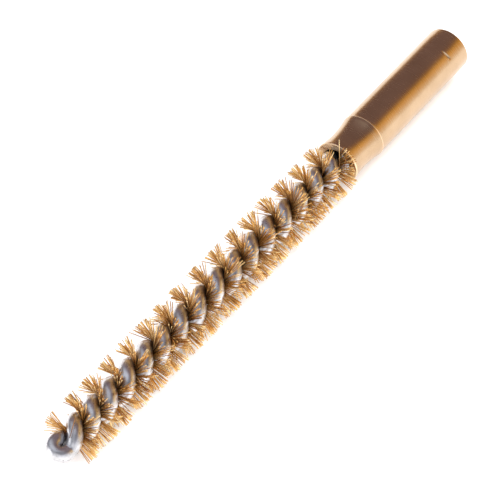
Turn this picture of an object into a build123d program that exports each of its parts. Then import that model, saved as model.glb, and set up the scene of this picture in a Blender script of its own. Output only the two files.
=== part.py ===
"""Tip cleaning brush with brass bristles, twisted-in-wire construction.

A single steel wire is folded into a hairpin, brass bristle wires are laid between its two legs, and
the legs are twisted together (left-hand) so that the bristles fan out as a double spiral. The cut
ends of the stem sit in a brass ferrule whose mouth is crimped onto them, and whose far end is an
open socket for a spindle or handle.

Frame: millimetres, +Z up, brush lying on its side. The axis runs along X, from the hairpin tip at
-X to the socket at +X. The origin is below the middle of the brush, on the surface it lies on.
"""

import os
from math import ceil, cos, pi, radians, sin

from build123d import *

# Driving dimensions -------------------------------------------------------------------------------
total_length = 109.0  # hairpin tip to the ferrule's far end
brush_diameter = 10.0  # over the bristle ends
ferrule_diameter = 8.0
ferrule_length = 33.5

crimp_length = 7.5  # from the ferrule's mouth to its shoulder
crimp_waist_at = 4.0  # the narrowest place, from the mouth
mouth_radius = 3.92
waist_radius = 3.66
mouth_rim_width = 0.15  # the small chamfer round the mouth's outer edge
shoulder_ridge = 0.08  # the fine raised line where the crimp ends
shoulder_ridge_width = 0.2
stem_seat_diameter = 5.35
stem_seat_depth = 13.0
socket_diameter = 6.0
socket_depth = 19.0
rim_chamfer = 0.2

stem_wire_diameter = 2.5
bristle_diameter = 0.15
bristle_clearance = 0.02  # each side of a bristle, between the two stem legs
twist_pitch = 9.12  # one full turn of the stem
twist_ramp = 1.2  # the length over which the turn reaches its full rate
ramp_steps = 6
hairpin_angle = 15.0  # roll of the hairpin's plane about the axis, in degrees from +Y
stem_end_gap = 1.0  # between the cut ends of the stem and the bottom of their seat

bristle_start = 4.9  # first bristle, from the hairpin tip
bristle_end_gap = 0.3  # between the last bristle and the ferrule's mouth
bristles_per_half_turn = 26

# Derived dimensions -------------------------------------------------------------------------------
axis_height = brush_diameter / 2
tip_x = -total_length / 2
far_end_x = total_length / 2
mouth_x = far_end_x - ferrule_length
leg_radius = stem_wire_diameter / 2 + bristle_diameter / 2 + bristle_clearance
twist_start = stem_wire_diameter / 2 + leg_radius  # the legs begin to turn behind the hairpin bend
twist_full = twist_start + twist_ramp
stem_end = mouth_x - tip_x + stem_seat_depth - stem_end_gap


def twist_angle(along):
    """Roll of the plane of the two legs, in radians, at a distance along from the hairpin tip."""
    if along <= twist_start:
        turned = 0.0
    elif along <= twist_full:
        turned = (along - twist_start) ** 2 / (2 * twist_ramp)
    else:
        turned = along - twist_start - twist_ramp / 2
    return radians(hairpin_angle) - 2 * pi * turned / twist_pitch


def leg_point(along, side):
    """Centre of one stem leg (side is +1 or -1) at a distance along from the hairpin tip."""
    angle = twist_angle(along)
    return (
        tip_x + along,
        side * leg_radius * cos(angle),
        axis_height + side * leg_radius * sin(angle),
    )


def leg_tangent(along, side):
    """Direction of one stem leg where the twist has its full rate."""
    angle = twist_angle(along)
    rate = -2 * pi / twist_pitch * leg_radius * side
    return Vector(1, -rate * sin(angle), rate * cos(angle))


# Ferrule: a turned brass sleeve, crimped at the stem end, open at the socket end -------------------
with BuildPart() as ferrule:
    with BuildSketch(Plane.XZ) as ferrule_profile:
        with BuildLine():
            mouth_inner = (mouth_x, axis_height + stem_seat_diameter / 2)
            mouth_edge = (mouth_x, axis_height + mouth_radius - mouth_rim_width)
            mouth_outer = (mouth_x + mouth_rim_width, axis_height + mouth_radius)
            waist = (mouth_x + crimp_waist_at, axis_height + waist_radius)
            shoulder_x = mouth_x + crimp_length
            outer_radius = ferrule_diameter / 2
            shoulder = (shoulder_x, axis_height + outer_radius + shoulder_ridge)
            ridge_end = (shoulder_x + shoulder_ridge_width, axis_height + outer_radius)
            far_outer = (far_end_x - rim_chamfer, axis_height + outer_radius)
            far_rim = (far_end_x, axis_height + outer_radius - rim_chamfer)
            far_inner = (far_end_x, axis_height + socket_diameter / 2 + rim_chamfer)
            far_bore = (far_end_x - rim_chamfer, axis_height + socket_diameter / 2)
            socket_floor = (far_end_x - socket_depth, axis_height + socket_diameter / 2)
            socket_centre = (far_end_x - socket_depth, axis_height)
            seat_centre = (mouth_x + stem_seat_depth, axis_height)
            seat_floor = (mouth_x + stem_seat_depth, axis_height + stem_seat_diameter / 2)
            Polyline(mouth_inner, mouth_edge, mouth_outer)
            Spline(mouth_outer, waist, shoulder)
            Polyline(shoulder, ridge_end, far_outer, far_rim, far_inner, far_bore, socket_floor)
            Polyline(socket_floor, socket_centre, seat_centre, seat_floor, mouth_inner)
        make_face()
    revolve(axis=Axis((0, 0, axis_height), (1, 0, 0)))
ferrule.part.label = "ferrule"

# Stem: one steel wire, a hairpin whose two legs are twisted together left-hand ---------------------
roll = Vector(0, cos(radians(hairpin_angle)), sin(radians(hairpin_angle)))
bend_centre = Vector(tip_x + twist_start, 0, axis_height)
helix_runs = ceil((stem_end - twist_full) / twist_pitch)
helix_run = (stem_end - twist_full) / helix_runs
wire_length = pi * leg_radius
with BuildPart() as stem_wire:
    with BuildSketch(Plane(bend_centre, x_dir=roll, z_dir=(1, 0, 0))):
        with Locations((leg_radius, 0)):
            Circle(stem_wire_diameter / 2)
    revolve(axis=Axis(bend_centre, Vector(1, 0, 0).cross(roll)), revolution_arc=180)
    for side in (1, -1):
        with BuildLine() as ramp_line:
            Spline(
                *[leg_point(twist_start + twist_ramp * i / ramp_steps, side) for i in range(ramp_steps + 1)],
                tangents=(Vector(1, 0, 0), leg_tangent(twist_full, side)),
            )
        with BuildSketch(Plane(ramp_line.line @ 0, z_dir=(1, 0, 0))):
            Circle(stem_wire_diameter / 2)
        sweep(path=ramp_line.line)
        wire_length += ramp_line.edge().length
        for run in range(helix_runs):
            along = twist_full + helix_run * run
            spoke = Vector(0, cos(twist_angle(along)), sin(twist_angle(along))) * side
            helix_plane = Plane((tip_x + along, 0, axis_height), x_dir=spoke, z_dir=(1, 0, 0))
            helix = Helix(twist_pitch, helix_run, leg_radius, lefthand=True, mode=Mode.PRIVATE)
            with BuildLine() as leg_line:
                add(helix_plane.location * helix)
            with BuildSketch(Plane(leg_line.line @ 0, z_dir=leg_line.line % 0)):
                Circle(stem_wire_diameter / 2)
            sweep(path=leg_line.line, is_frenet=True)
            wire_length += leg_line.edge().length
stem_wire.part.label = "stem_wire"

# Bristles: straight brass wires through the gap between the legs, one node for each half turn ------
bristle_stop = mouth_x - tip_x - bristle_end_gap
bristle_spacing = twist_pitch / 2 / bristles_per_half_turn
bristle_count = int((bristle_stop - bristle_start) / bristle_spacing) + 1
row_count = -(-bristle_count // bristles_per_half_turn)


def bristle_plane(along):
    """Workplane across one bristle's lower end, square to the wire."""
    angle = twist_angle(along) + pi / 2
    direction = Vector(0, cos(angle), sin(angle))
    centre = Vector(tip_x + along, 0, axis_height)
    return Plane(origin=centre - direction * brush_diameter / 2, x_dir=(1, 0, 0), z_dir=direction)


bristle_rows = []
for row in range(row_count):
    first = row * bristles_per_half_turn
    last = min(first + bristles_per_half_turn, bristle_count)
    places = [bristle_start + bristle_spacing * i for i in range(first, last)]
    with BuildPart() as bristle_row:
        with Locations(*[bristle_plane(along) for along in places]):
            Cylinder(
                bristle_diameter / 2,
                brush_diameter,
                align=(Align.CENTER, Align.CENTER, Align.MIN),
            )
    bristle_row.part.label = f"bristle_row_{row + 1:02d}"
    bristle_rows.append(bristle_row.part)

# Export -------------------------------------------------------------------------------------------
os.makedirs("parts", exist_ok=True)
export_step(ferrule.part, "parts/ferrule.step")
export_step(stem_wire.part, "parts/stem_wire.step")
for piece in bristle_rows:
    export_step(piece, f"parts/{piece.label}.step")

wire_area = pi * stem_wire_diameter**2 / 4
print("stem volume", round(stem_wire.part.volume, 2), "expected", round(wire_area * wire_length, 2))
print("bristles", bristle_count, "rows", row_count)
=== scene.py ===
"""Looks of the tip cleaning brush: a twisted steel stem, a double spiral of brass bristles, a brass ferrule.

Everything is in metres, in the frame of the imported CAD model: the brush lies along X, hairpin tip at -X.
"""

import math

import bpy
import numpy as np
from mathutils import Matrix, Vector


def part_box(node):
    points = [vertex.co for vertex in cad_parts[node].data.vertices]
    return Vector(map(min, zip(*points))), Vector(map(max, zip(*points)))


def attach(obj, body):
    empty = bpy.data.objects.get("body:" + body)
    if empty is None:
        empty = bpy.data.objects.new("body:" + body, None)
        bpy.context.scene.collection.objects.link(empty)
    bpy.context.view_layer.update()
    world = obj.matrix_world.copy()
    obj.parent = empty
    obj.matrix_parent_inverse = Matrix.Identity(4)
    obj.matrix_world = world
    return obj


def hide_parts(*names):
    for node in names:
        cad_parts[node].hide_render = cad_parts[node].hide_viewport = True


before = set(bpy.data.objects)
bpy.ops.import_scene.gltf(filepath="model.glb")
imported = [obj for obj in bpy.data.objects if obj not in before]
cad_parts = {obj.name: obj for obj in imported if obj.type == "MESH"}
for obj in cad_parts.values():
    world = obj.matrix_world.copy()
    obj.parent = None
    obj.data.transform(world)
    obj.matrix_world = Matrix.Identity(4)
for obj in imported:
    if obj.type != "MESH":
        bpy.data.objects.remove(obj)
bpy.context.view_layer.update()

MM = 0.001

# Places taken from the frame ------------------------------------------------------------------------
ferrule_low, ferrule_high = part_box("ferrule")
stem_low, stem_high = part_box("stem_wire")
bristle_nodes = sorted(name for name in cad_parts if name.startswith("bristle_row"))
brush_low, brush_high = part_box(bristle_nodes[1])

TIP_X = stem_low.x
STEM_END_X = stem_high.x
MOUTH_X = ferrule_low.x
FAR_X = ferrule_high.x
AXIS_Z = (brush_low.z + brush_high.z) / 2
BRUSH_RADIUS = (brush_high.z - brush_low.z) / 2
STEM_RADIUS = (stem_high.y - stem_low.y) / 2

# Stem sizes, as in the CAD model
WIRE_RADIUS = 1.25 * MM
LEG_RADIUS = STEM_RADIUS - WIRE_RADIUS
BEND_RADIUS = WIRE_RADIUS + 0.01 * MM  # the legs touch at the bend, where no bristle parts them
TWIST_PITCH = 9.12 * MM
TWIST_START = WIRE_RADIUS + LEG_RADIUS
TWIST_RAMP = 1.2 * MM
HAIRPIN_ANGLE = math.radians(15.0)
# The twist isn't perfectly even: how far each place is ahead of an even twist (place, lead), in mm.
TWIST_LEAD = [
    (6.5, 0.0),
    (12.4, 0.62),
    (21.5, 0.75),
    (28.0, 0.88),
    (33.0, 0.82),
    (45.0, 0.32),
    (55.0, 0.22),
    (66.0, 0.4),
    (72.0, 0.7),
]
LEAD_EASING, LEAD_SAMPLES = 3.0, 9  # mm to each side that the lead is averaged over, and at how many places
STEM_END_INSET = 0.65 * MM  # from the CAD's end of the stem to the last ring of the tube
LEG_STEPS, BEND_STEPS, STEM_SIDES = 700, 26, 40
STEM_TEXTURE_LENGTH = 10 * MM  # of wire, for one unit of the texture's u

# Ferrule sizes in mm, as in the CAD model
FERRULE_RADIUS = 4.0
CRIMP_LENGTH, CRIMP_WAIST_AT = 7.5, 4.0
MOUTH_RADIUS, WAIST_RADIUS, RIDGE_RADIUS = 3.92, 3.66, 4.08
RIM_WIDTH, FAR_RIM = 0.15, 0.2
SEAT_RADIUS, SEAT_DEPTH = 2.675, 13.0
SOCKET_RADIUS, SOCKET_DEPTH = 3.0, 19.0
RIDGE_ROUND = 0.08  # radius of the ridge's rounded crest
RIDGE_FALL = 0.22  # from the crimp's end to where the outside is plain again
CORE_RADIUS = 0.02  # of the small flats that close the seat and the socket
PLAIN_START, PLAIN_STEP = 0.6, 0.8  # rings of the plain outside, counted from the crimp's end
CRIMP_STEPS = 26
FERRULE_SIDES = 360
SMOOTH_UNDER = math.radians(35)  # edges sharper than this are shaded sharp

# A small nick in the ferrule, in mm: its place from the mouth, and its angle round the axis in degrees
NICK_AT = (29.05, 127.0)
NICK_TILT = 1.5  # radians, from lengthwise
NICK_LENGTH, NICK_DEPTH = 1.1, 0.22
NICK_WIDTH, NICK_FLARE = 0.22, 0.12  # half its width in the middle, and what that gains per mm
NICK_WIDTHS = (0.06, 0.4)  # least and most
NICK_REACH, NICK_STEP = 1.5, 0.07  # how far the close rings go to each side of it, and their spacing
NICK_GAP = 0.1  # from the plain rings to the close ones, at least
OUTSIDE_MARGIN = 0.01  # points deeper than this under the outside aren't nicked

# Edges painted lighter: the mouth rubbed bright, and a painted highlight ring on the ridge: (mm from the
# mouth, amount)
RUBBED_EDGE_AND_RIDGE_HIGHLIGHT = [
    (0.0, 0.25),
    (0.10, 1.0),
    (0.20, 1.0),
    (0.30, 0.0),
    (7.50, 0.0),
    (7.54, 0.8),
    (7.66, 0.8),
    (7.70, 0.0),
]
EDGE_RAMP_SPAN = 10.0  # mm from the mouth that the colour ramp covers

# Bristle sizes
BRISTLE_RADIUS = 0.070 * MM
BRISTLE_START = 4.7 * MM  # from the hairpin tip
BRISTLE_STOP = MOUTH_X - TIP_X - 0.25 * MM
BRISTLES_PER_ROW = 90  # each with two halves
BRISTLE_SIDES, BRISTLE_STEPS = 6, 7
MOUTH_CLEAR = 0.16 * MM  # kept between the bristles and the ferrule's mouth
HELD_RADIUS = WIRE_RADIUS * 0.6  # a bristle is straight out to here, and leans or bows beyond it
# Bristles lean and roll together in clumps of this many, and each also by itself. The spreads are in radians.
CLUMP_SIZE = 6
CLUMP_LEAN, CLUMP_ROLL = 0.17, 0.10
LEAN_SPREAD, ROLL_SPREAD = 0.11, 0.06
BOW_SPREAD = 0.025  # how far the tip bows, as a share of the bristle's length
PLACE_RANGE = (0.1, 0.9)  # where each bristle stands within its share of the row
REACH_RANGE = (0.93, 0.985)  # length of a bristle, as a share of the brush's radius
BRISTLE_SEED = 7
# Wires that stand out of the rows, as (root, tip) in mm
LOOSE_WIRES = [
    ((19.20, -1.75, 6.60), (21.60, 0.10, 9.90)),
    ((19.25, -1.55, 6.56), (19.47, 0.62, 8.20)),
    ((20.09, -1.99, 5.94), (20.74, -2.04, 8.51)),
    ((20.43, -2.20, 5.10), (20.90, -3.28, 7.09)),
    ((-51.08, -0.95, 6.98), (-48.66, -0.25, 8.80)),
    ((6.45, -2.20, 4.97), (10.08, -1.75, 8.10)),
    ((5.35, -2.18, 5.31), (8.12, -1.77, 7.60)),
]


def smooth_lead(along, places, leads):
    """The twist's lead at a place, eased so that the stem has no kink."""
    reach = np.linspace(-LEAD_EASING, LEAD_EASING, LEAD_SAMPLES) * MM
    return sum(np.interp(along + step, places, leads) for step in reach) / len(reach)


def twist_angle(along):
    """Roll of the plane of the two legs at a distance along from the hairpin tip."""
    along = np.asarray(along, float)
    past = np.clip(along - TWIST_START, 0.0, None)
    ramp = past**2 / (2 * TWIST_RAMP)
    full = past - TWIST_RAMP / 2
    places, leads = np.array(TWIST_LEAD).T * MM
    turned = np.where(past < TWIST_RAMP, ramp, full) + smooth_lead(along, places, leads)
    return HAIRPIN_ANGLE - 2 * math.pi * turned / TWIST_PITCH


# Light: beyond the ferrule the surroundings are pale below, golden round the horizon and dark overhead.
# Beyond the tip they are the same without the gold, and a little lighter again right overhead. Each stop
# gives the colour at a height above the horizon, counted lower in front of the brush than behind it.
SKY_TILT = 0.42
SKY_RANGE = (-0.4, 1.0)  # heights that the colour ramps cover
SKY_STOPS = [
    (-0.30, (0.95, 0.90, 0.85)),
    (-0.12, (0.87, 0.70, 0.52)),
    (0.03, (0.81, 0.55, 0.26)),
    (0.18, (0.80, 0.48, 0.14)),
    (0.33, (0.56, 0.33, 0.08)),
    (0.44, (0.30, 0.17, 0.08)),
    (0.54, (0.19, 0.12, 0.11)),
    (0.66, (0.17, 0.12, 0.13)),
]
COOL_STOPS = [
    (-0.30, (0.93, 0.93, 0.96)),
    (0.05, (0.85, 0.85, 0.90)),
    (0.25, (0.50, 0.49, 0.54)),
    (0.40, (0.20, 0.20, 0.24)),
    (0.66, (0.15, 0.15, 0.18)),
    (0.80, (0.20, 0.21, 0.24)),
    (0.95, (0.50, 0.51, 0.57)),
]
COOL_FROM_TO = (0.38, 0.05)  # the direction's part along +X where the cool sky starts and where it is full
# Soft windows beyond the tip: (direction, edge as cosines from outside to inside, colour)
WINDOWS = [
    ((-0.86, -0.35, 0.38), (0.88, 0.97), (0.95, 0.95, 1.0)),
    ((-0.80, 0.56, 0.12), (0.87, 0.96), (1.35, 1.35, 1.4)),
]
SKY_STRENGTH = 1.5
# (name, direction it shines in, strength, angle across in degrees)
SUNS = (
    ("key", (0.5, 0.6, -1.0), 3.4, 60.0),
    ("fill", (-0.6, -0.3, -1.0), 1.9, 70.0),
)
FLOOR_HALF = 3.0

# Camera
CAMERA_AT = (-246.7 * MM, -174.9 * MM, 336.9 * MM)
CAMERA_AZIMUTH, CAMERA_DOWN = math.radians(35.72), math.radians(47.88)
CAMERA_SENSOR, CAMERA_LENS = 36.0, 201.6  # mm
CAMERA_CLIP = (0.01, 10.0)


# Mesh helpers ---------------------------------------------------------------------------------------
def mesh_object(name, points, faces, material, uv=None, attributes=()):
    """A smooth-shaded mesh piece.

    uv is one pair for each vertex, and attributes are (name, values for each vertex).
    """
    mesh = bpy.data.meshes.new(name)
    mesh.from_pydata([tuple(p) for p in points], [], [tuple(f) for f in faces])
    mesh.polygons.foreach_set("use_smooth", [True] * len(mesh.polygons))
    if uv is not None:
        layer = mesh.uv_layers.new(name="UVMap")
        corner_vertex = np.zeros(len(mesh.loops), int)
        mesh.loops.foreach_get("vertex_index", corner_vertex)
        layer.data.foreach_set("uv", np.asarray(uv, float)[corner_vertex].ravel())
    for label, values in attributes:
        attribute = mesh.attributes.new(label, "FLOAT", "POINT")
        attribute.data.foreach_set("value", np.asarray(values, float))
    mesh.update()
    piece = bpy.data.objects.new(name, mesh)
    bpy.context.scene.collection.objects.link(piece)
    piece.data.materials.append(material)
    return piece


def rotation_free_frames(path):
    """Two unit normals for every point of a path, carried along it without spinning."""
    tangents = np.gradient(path, axis=0)
    tangents /= np.linalg.norm(tangents, axis=1)[:, None]
    start = np.cross(tangents[0], [0.3, 0.2, 1.0])
    normals = [start / np.linalg.norm(start)]
    for tangent in tangents[1:]:
        carried = normals[-1] - tangent * np.dot(normals[-1], tangent)
        normals.append(carried / np.linalg.norm(carried))
    normals = np.array(normals)
    return normals, np.cross(tangents, normals)


def ring_angles(sides):
    """Angles of a ring's corners."""
    return 2 * math.pi * np.arange(sides) / sides


def tube_points(path, radius, sides):
    """A ring of points round every point of a path."""
    normals, binormals = rotation_free_frames(path)
    turn = ring_angles(sides)
    ring = np.cos(turn)[None, :, None] * normals[:, None] + np.sin(turn)[None, :, None] * binormals[:, None]
    return path[:, None] + radius * ring


def ring_faces(rings, sides, offset=0):
    """Quads between successive rings of a tube, with an end cap at each end."""
    faces = []
    for ring in range(rings - 1):
        for side in range(sides):
            here = offset + ring * sides + side
            beside = offset + ring * sides + (side + 1) % sides
            faces.append((here, beside, beside + sides, here + sides))
    faces.append(tuple(offset + side for side in reversed(range(sides))))
    last = offset + (rings - 1) * sides
    faces.append(tuple(last + side for side in range(sides)))
    return faces


# Materials ------------------------------------------------------------------------------------------
def new_material(name):
    """A material with its nodes, its links and its shader."""
    material = bpy.data.materials.new(name)
    material.use_nodes = True
    nodes = material.node_tree.nodes
    return material, nodes, material.node_tree.links, nodes["Principled BSDF"]


def ramp(nodes, stops):
    """A colour ramp with the given (position, colour) stops."""
    node = nodes.new("ShaderNodeValToRGB")
    while len(node.color_ramp.elements) < len(stops):
        node.color_ramp.elements.new(1.0)
    for element, (position, colour) in zip(node.color_ramp.elements, stops):
        element.position = position
        element.color = (*colour, 1.0)
    return node


def noise(nodes, links, vector, scale, detail=3.0, roughness=0.5):
    """Noise over the given texture coordinates."""
    node = nodes.new("ShaderNodeTexNoise")
    node.inputs["Scale"].default_value = scale
    node.inputs["Detail"].default_value = detail
    node.inputs["Roughness"].default_value = roughness
    links.new(vector, node.inputs["Vector"])
    return node


def stretched(nodes, links, source, scale):
    """Texture coordinates stretched by a scale for each axis."""
    mapping = nodes.new("ShaderNodeMapping")
    mapping.inputs["Scale"].default_value = scale
    links.new(source, mapping.inputs["Vector"])
    return mapping.outputs["Vector"]


def bump(nodes, links, height, shader, strength, distance):
    """Gives the shader a bump from a height."""
    node = nodes.new("ShaderNodeBump")
    node.inputs["Strength"].default_value = strength
    node.inputs["Distance"].default_value = distance
    links.new(height, node.inputs["Height"])
    links.new(node.outputs["Normal"], shader.inputs["Normal"])


def spread(nodes, links, value, low, high):
    """Maps a 0 to 1 value onto low to high."""
    node = nodes.new("ShaderNodeMapRange")
    node.inputs["To Min"].default_value = low
    node.inputs["To Max"].default_value = high
    links.new(value, node.inputs["Value"])
    return node.outputs["Result"]


def multiplied(nodes, links, first, second):
    """The product of two colours."""
    node = nodes.new("ShaderNodeMix")
    node.data_type = "RGBA"
    node.blend_type = "MULTIPLY"
    node.inputs["Factor"].default_value = 1.0
    links.new(first, node.inputs["A"])
    links.new(second, node.inputs["B"])
    return node.outputs["Result"]


def blended(nodes, links, factor, first, second):
    """From the first colour to the second; the second may be a plain colour."""
    node = nodes.new("ShaderNodeMix")
    node.data_type = "RGBA"
    links.new(factor, node.inputs["Factor"])
    links.new(first, node.inputs["A"])
    if isinstance(second, tuple):
        node.inputs["B"].default_value = (*second, 1.0)
    else:
        links.new(second, node.inputs["B"])
    return node.outputs["Result"]


def steel_material():
    """Drawn steel wire: cool satin grey, with dark pits, short drawing marks and a faint tarnish."""
    material, nodes, links, shader = new_material("drawn_steel")
    coordinates = nodes.new("ShaderNodeTexCoord")
    along = stretched(nodes, links, coordinates.outputs["UV"], (2.0, 9.0, 1.0))
    marks = noise(nodes, links, along, 5.0, 4.0, 0.6)
    patches = noise(nodes, links, coordinates.outputs["Object"], 700.0, 3.0)
    specks = noise(nodes, links, coordinates.outputs["Object"], 3200.0, 2.0, 0.6)
    greys = [(0.30, (0.46, 0.46, 0.46)), (0.50, (0.61, 0.61, 0.62)), (0.75, (0.76, 0.77, 0.79))]
    tone = ramp(nodes, greys)
    links.new(patches.outputs["Fac"], tone.inputs["Fac"])
    pits = ramp(nodes, [(0.30, (0.30, 0.28, 0.27)), (0.38, (1.0, 1.0, 1.0))])
    links.new(specks.outputs["Fac"], pits.inputs["Fac"])
    base = multiplied(nodes, links, tone.outputs["Color"], pits.outputs["Color"])
    links.new(base, shader.inputs["Base Color"])
    links.new(spread(nodes, links, marks.outputs["Fac"], 0.22, 0.38), shader.inputs["Roughness"])
    shader.inputs["Metallic"].default_value = 1.0
    bump(nodes, links, marks.outputs["Fac"], shader, 0.08, 0.00002)
    return material


def ferrule_material():
    """Turned brass: fine marks round the axis, slightly uneven tarnish, the mouth's edge rubbed bright and a
    painted highlight ring on the ridge.
    """
    material, nodes, links, shader = new_material("turned_brass")
    coordinates = nodes.new("ShaderNodeTexCoord")
    turned = stretched(nodes, links, coordinates.outputs["Object"], (9000.0, 120.0, 120.0))
    marks = noise(nodes, links, turned, 1.0, 4.0, 0.65)
    patches = noise(nodes, links, coordinates.outputs["Object"], 260.0, 4.0)
    tarnish = [(0.30, (0.47, 0.33, 0.20)), (0.55, (0.52, 0.37, 0.23)), (0.80, (0.56, 0.41, 0.26))]
    tone = ramp(nodes, tarnish)
    links.new(patches.outputs["Fac"], tone.inputs["Fac"])
    lengthwise = nodes.new("ShaderNodeSeparateXYZ")
    links.new(coordinates.outputs["Object"], lengthwise.inputs["Vector"])
    place = nodes.new("ShaderNodeMapRange")
    place.inputs["From Min"].default_value = MOUTH_X
    place.inputs["From Max"].default_value = MOUTH_X + EDGE_RAMP_SPAN * MM
    links.new(lengthwise.outputs["X"], place.inputs["Value"])
    # Lighter brass at the mouth's edge, rubbed bright, and on the ridge as a painted highlight ring.
    rubbed_and_highlit = ramp(nodes, [(stop / EDGE_RAMP_SPAN, (amount, amount, amount)) for stop, amount in RUBBED_EDGE_AND_RIDGE_HIGHLIGHT])
    links.new(place.outputs["Result"], rubbed_and_highlit.inputs["Fac"])
    base = blended(nodes, links, rubbed_and_highlit.outputs["Color"], tone.outputs["Color"], (0.94, 0.70, 0.45))
    links.new(base, shader.inputs["Base Color"])
    links.new(spread(nodes, links, marks.outputs["Fac"], 0.16, 0.34), shader.inputs["Roughness"])
    shader.inputs["Metallic"].default_value = 1.0
    bump(nodes, links, marks.outputs["Fac"], shader, 0.2, 0.00002)
    return material


def bristle_material():
    """Fine brass wire: every wire has its own tint, and is darker and browner at its root, partly tarnish and
    partly painted shade among the crowded roots.
    """
    material, nodes, links, shader = new_material("bristle_brass")
    tint = nodes.new("ShaderNodeAttribute")
    tint.attribute_name = "tint"
    reach = nodes.new("ShaderNodeAttribute")
    reach.attribute_name = "reach"
    tints = [(0.0, (0.40, 0.18, 0.05)), (0.45, (0.80, 0.46, 0.13)), (1.0, (1.0, 0.80, 0.44))]
    tone = ramp(nodes, tints)
    links.new(tint.outputs["Fac"], tone.inputs["Fac"])
    # The roots are painted darker: partly tarnish, partly painted shade where the wires crowd between the
    # legs.
    root_tarnish_and_shade = [(0.20, (0.26, 0.17, 0.12)), (0.50, (0.80, 0.70, 0.60)), (0.85, (1.0, 1.0, 1.0))]
    root = ramp(nodes, root_tarnish_and_shade)
    links.new(reach.outputs["Fac"], root.inputs["Fac"])
    base = multiplied(nodes, links, tone.outputs["Color"], root.outputs["Color"])
    links.new(base, shader.inputs["Base Color"])
    shader.inputs["Metallic"].default_value = 0.8
    shader.inputs["Roughness"].default_value = 0.27
    return material


def floor_material():
    """Pale paper backdrop with a faint unevenness."""
    material, nodes, links, shader = new_material("pale_floor")
    coordinates = nodes.new("ShaderNodeTexCoord")
    patches = noise(nodes, links, coordinates.outputs["Object"], 8.0)
    tone = ramp(nodes, [(0.0, (0.90, 0.90, 0.90)), (1.0, (0.93, 0.93, 0.93))])
    links.new(patches.outputs["Fac"], tone.inputs["Fac"])
    links.new(tone.outputs["Color"], shader.inputs["Base Color"])
    shader.inputs["Roughness"].default_value = 0.9
    shader.inputs["Specular IOR Level"].default_value = 0.1
    return material


# Stem -----------------------------------------------------------------------------------------------
def leg_path(side):
    """Wire centres of one leg from behind the hairpin bend to its cut end."""
    along = np.linspace(TWIST_START, STEM_END_X - TIP_X - STEM_END_INSET, LEG_STEPS)
    angle = twist_angle(along)
    offset = side * np.interp(along, (TWIST_START, BRISTLE_START), (BEND_RADIUS, LEG_RADIUS))
    return np.stack([TIP_X + along, offset * np.cos(angle), AXIS_Z + offset * np.sin(angle)], axis=1)


def bend_path():
    """Wire centres round the hairpin bend, from the first leg to the second."""
    turn = np.linspace(0, math.pi, BEND_STEPS)[1:-1]
    offset = BEND_RADIUS * np.cos(turn)
    x = TIP_X + TWIST_START - LEG_RADIUS * np.sin(turn)
    across = offset * math.cos(HAIRPIN_ANGLE)
    return np.stack([x, across, AXIS_Z + offset * math.sin(HAIRPIN_ANGLE)], axis=1)


def make_stem():
    """The folded and twisted steel wire as one tube."""
    path = np.concatenate([leg_path(1)[::-1], bend_path(), leg_path(-1)])
    points = tube_points(path, WIRE_RADIUS, STEM_SIDES).reshape(-1, 3)
    travelled = np.concatenate([[0], np.cumsum(np.linalg.norm(np.diff(path, axis=0), axis=1))])
    lengthwise = travelled[:, None] / STEM_TEXTURE_LENGTH
    around = np.abs(ring_angles(STEM_SIDES) / math.pi - 1)[None, :]
    uv = np.stack(np.broadcast_arrays(lengthwise, around), axis=-1).reshape(-1, 2)
    stem = mesh_object("stem", points, ring_faces(len(path), STEM_SIDES), steel_material(), uv)
    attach(stem, "root")
    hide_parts("stem_wire")


# Bristles -------------------------------------------------------------------------------------------
def bristle_path(along, roll, lean, bow, reach):
    """Centres of one bristle half, from the axis to its cut end."""
    outward = np.array([0.0, math.cos(roll), math.sin(roll)])
    sideways = np.array([0.0, -math.sin(roll), math.cos(roll)])
    out = np.linspace(0.0, reach, BRISTLE_STEPS)
    free = np.clip(out - HELD_RADIUS, 0.0, None)
    x = TIP_X + along + free * math.tan(lean) + bow[0] * free**2 / reach
    path = x[:, None] * [1.0, 0.0, 0.0] + [0.0, 0.0, AXIS_Z]
    return path + out[:, None] * outward + (bow[1] * free**2 / reach)[:, None] * sideways


def row_paths(row, random):
    """Centres of all the bristle halves and loose wires of one half turn of the stem."""
    half_pitch = TWIST_PITCH / 2
    start = BRISTLE_START + half_pitch * row
    stop = min(start + half_pitch, BRISTLE_STOP)
    count = max(2, round(BRISTLES_PER_ROW * (stop - start) / half_pitch))
    clump_lean = random.normal(0.0, CLUMP_LEAN, count // CLUMP_SIZE + 2)
    clump_roll = random.normal(0.0, CLUMP_ROLL, count // CLUMP_SIZE + 2)
    paths = []
    for index in range(count):
        along = start + (stop - start) * (index + random.uniform(*PLACE_RANGE)) / count
        steepest = math.atan((MOUTH_X - TIP_X - along - MOUTH_CLEAR) / (MOUTH_RADIUS * MM))
        for side in (0.0, math.pi):
            lean = clump_lean[index // CLUMP_SIZE] + random.normal(0.0, LEAN_SPREAD)
            roll = float(twist_angle(along)) + math.pi / 2 + side
            roll += clump_roll[index // CLUMP_SIZE] + random.normal(0.0, ROLL_SPREAD)
            bow = random.normal(0.0, BOW_SPREAD, 2)
            reach = BRUSH_RADIUS * random.uniform(*REACH_RANGE)
            paths.append(bristle_path(along, roll, min(lean, steepest), bow, reach))
    for root, tip in LOOSE_WIRES:
        place = root[0] * MM - TIP_X
        if start <= place < stop or (row == 0 and place < start):
            paths.append(np.linspace(root, tip, BRISTLE_STEPS) * MM)
    return paths


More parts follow.
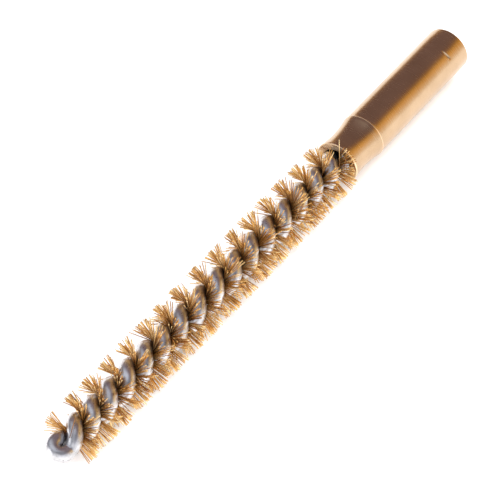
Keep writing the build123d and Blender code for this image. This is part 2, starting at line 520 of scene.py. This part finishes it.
def make_bristle_row(row, node, material, random):
    """All the wires of one half turn of the stem, as separate closed tubes in one piece."""
    paths = row_paths(row, random)
    points, faces, tints = [], [], []
    for path in paths:
        faces += ring_faces(BRISTLE_STEPS, BRISTLE_SIDES, len(tints))
        points.append(tube_points(path, BRISTLE_RADIUS, BRISTLE_SIDES).reshape(-1, 3))
        tints += [random.uniform()] * (BRISTLE_STEPS * BRISTLE_SIDES)
    reaches = np.tile(np.repeat(np.linspace(0, 1, BRISTLE_STEPS), BRISTLE_SIDES), len(paths))
    piece = mesh_object(
        f"bristles_{row + 1:02d}",
        np.concatenate(points),
        faces,
        material,
        attributes=(("tint", tints), ("reach", reaches)),
    )
    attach(piece, "root")
    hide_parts(node)


def make_bristles():
    """Every row of bristles, in order along the stem, from one seeded generator."""
    random = np.random.default_rng(BRISTLE_SEED)
    material = bristle_material()
    for row, node in enumerate(bristle_nodes):
        make_bristle_row(row, node, material, random)


# Ferrule --------------------------------------------------------------------------------------------
def corner(centre, radius, start, stop, steps=5):
    """Points of a small arc in the profile plane (along, radius), angles in degrees."""
    angles = np.radians(np.linspace(start, stop, steps))
    return [(centre[0] + radius * math.cos(a), centre[1] + radius * math.sin(a)) for a in angles]


def ferrule_profile():
    """(along from the mouth, radius) in mm: stem seat, mouth, crimp, ridge, outside, far rim, socket."""
    length = (FAR_X - MOUTH_X) / MM
    crimp_places = (RIM_WIDTH, CRIMP_WAIST_AT, CRIMP_LENGTH)
    crimp = np.polyfit(crimp_places, (MOUTH_RADIUS, WAIST_RADIUS, RIDGE_RADIUS), 2)
    places = np.linspace(RIM_WIDTH, CRIMP_LENGTH, CRIMP_STEPS)[1:-1]
    socket_floor = length - SOCKET_DEPTH
    plain = np.arange(CRIMP_LENGTH + PLAIN_START, NICK_AT[0] - (NICK_REACH + NICK_GAP), PLAIN_STEP)
    nicked = np.arange(NICK_AT[0] - NICK_REACH, NICK_AT[0] + NICK_REACH, NICK_STEP)
    points = [(SEAT_DEPTH, CORE_RADIUS), (SEAT_DEPTH, SEAT_RADIUS), (0.0, SEAT_RADIUS)]
    points += corner((RIM_WIDTH, MOUTH_RADIUS - RIM_WIDTH), RIM_WIDTH, 180, 90)
    points += [(place, float(np.polyval(crimp, place))) for place in places]
    points += corner((CRIMP_LENGTH + RIDGE_ROUND, RIDGE_RADIUS - RIDGE_ROUND), RIDGE_ROUND, 150, 10)
    points += [(CRIMP_LENGTH + RIDGE_FALL, FERRULE_RADIUS)]
    points += [(place, FERRULE_RADIUS) for place in (*plain, *nicked)]
    points += corner((length - FAR_RIM, FERRULE_RADIUS - FAR_RIM), FAR_RIM, 90, 0)
    points += [(length, SOCKET_RADIUS + FAR_RIM), (length - FAR_RIM, SOCKET_RADIUS)]
    points += [(socket_floor, SOCKET_RADIUS), (socket_floor, CORE_RADIUS)]
    return np.array(points)


def nick_depth(along, turn):
    """Depth of the nick in mm at each place along and each angle round the outside."""
    across = (turn[None, :] - math.radians(NICK_AT[1])) * FERRULE_RADIUS
    cut = np.array([math.cos(NICK_TILT), math.sin(NICK_TILT)])
    lengthwise = (along - NICK_AT[0]) * cut[0] + across * cut[1]
    sideways = (along - NICK_AT[0]) * cut[1] - across * cut[0]
    width = np.clip(NICK_WIDTH + NICK_FLARE * lengthwise, *NICK_WIDTHS)
    groove = np.clip(1.0 - np.abs(sideways) / width, 0.0, 1.0)
    fade = np.clip(1.0 - (lengthwise / NICK_LENGTH) ** 2, 0.0, 1.0)
    return NICK_DEPTH * (groove * fade)


def make_ferrule():
    """The sleeve: turned outside, with a small nick in it near its far end."""
    profile = ferrule_profile()
    turn = ring_angles(FERRULE_SIDES)
    along = np.broadcast_to(profile[:, 0, None], (len(profile), FERRULE_SIDES))
    radius = np.array(np.broadcast_to(profile[:, 1, None], (len(profile), FERRULE_SIDES)))
    outside = radius > FERRULE_RADIUS - OUTSIDE_MARGIN
    radius -= nick_depth(along, turn) * outside
    x = MOUTH_X + along * MM
    points = np.stack([x, radius * MM * np.cos(turn), AXIS_Z + radius * MM * np.sin(turn)], axis=-1)
    faces = ring_faces(len(profile), FERRULE_SIDES)
    sleeve = mesh_object("ferrule_sleeve", points.reshape(-1, 3), faces, ferrule_material())
    sleeve.data.set_sharp_from_angle(angle=SMOOTH_UNDER)
    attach(sleeve, "root")
    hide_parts("ferrule")


# Stage, light and camera ----------------------------------------------------------------------------
def make_floor():
    """A wide flat sheet that the brush lies on."""
    half = FLOOR_HALF
    corners = [(-half, -half, 0), (half, -half, 0), (half, half, 0), (-half, half, 0)]
    floor = mesh_object("floor", corners, [(0, 1, 2, 3)], floor_material())


def direction_part(nodes, links, direction, axis, start, stop):
    """0 to 1 as the direction's part along an axis goes from start to stop."""
    part = nodes.new("ShaderNodeVectorMath")
    part.operation = "DOT_PRODUCT"
    part.inputs[1].default_value = axis
    links.new(direction, part.inputs[0])
    place = nodes.new("ShaderNodeMapRange")
    place.inputs["From Min"].default_value = start
    place.inputs["From Max"].default_value = stop
    links.new(part.outputs["Value"], place.inputs["Value"])
    return place.outputs["Result"]


def make_world():
    """Surroundings that the metal mirrors: warm beyond the ferrule, cool with windows beyond the tip."""
    world = bpy.data.worlds.new("studio")
    bpy.context.scene.world = world
    world.use_nodes = True
    nodes, links = world.node_tree.nodes, world.node_tree.links
    direction = nodes.new("ShaderNodeTexCoord").outputs["Generated"]
    low, high = SKY_RANGE
    height = direction_part(nodes, links, direction, (0.0, SKY_TILT, 1.0), low, high)
    warm = ramp(nodes, [((stop - low) / (high - low), colour) for stop, colour in SKY_STOPS])
    cool = ramp(nodes, [((stop - low) / (high - low), colour) for stop, colour in COOL_STOPS])
    links.new(height, warm.inputs["Fac"])
    links.new(height, cool.inputs["Fac"])
    toward_tip = direction_part(nodes, links, direction, (1.0, 0.0, 0.0), *COOL_FROM_TO)
    sky = blended(nodes, links, toward_tip, warm.outputs["Color"], cool.outputs["Color"])
    for place, edge, colour in WINDOWS:
        window = direction_part(nodes, links, direction, Vector(place).normalized(), *edge)
        sky = blended(nodes, links, window, sky, colour)
    links.new(sky, nodes["Background"].inputs["Color"])
    nodes["Background"].inputs["Strength"].default_value = SKY_STRENGTH


def make_suns():
    """Broad lights for the floor, left out of the mirror reflections."""
    for name, direction, strength, angle in SUNS:
        light = bpy.data.lights.new(name, "SUN")
        light.energy = strength
        light.angle = math.radians(angle)
        lamp = bpy.data.objects.new(name, light)
        lamp.rotation_mode = "QUATERNION"
        lamp.rotation_quaternion = Vector(direction).to_track_quat("-Z", "Y")
        lamp.visible_glossy = False
        bpy.context.scene.collection.objects.link(lamp)


def make_camera():
    """A long lens above and beside the tip, looking along the brush and down."""
    data = bpy.data.cameras.new("camera")
    data.sensor_width = CAMERA_SENSOR
    data.lens = CAMERA_LENS
    data.clip_start, data.clip_end = CAMERA_CLIP
    camera = bpy.data.objects.new("camera", data)
    camera.location = CAMERA_AT
    level = math.cos(CAMERA_DOWN)
    forward = level * math.cos(CAMERA_AZIMUTH)
    sideways = level * math.sin(CAMERA_AZIMUTH)
    look = Vector((forward, sideways, -math.sin(CAMERA_DOWN)))
    camera.rotation_mode = "QUATERNION"
    camera.rotation_quaternion = look.to_track_quat("-Z", "Y")
    bpy.context.scene.collection.objects.link(camera)
    bpy.context.scene.camera = camera


make_stem()
make_bristles()
make_ferrule()
make_floor()
make_world()
make_suns()
make_camera()
bpy.context.scene.view_settings.view_transform = "Standard"
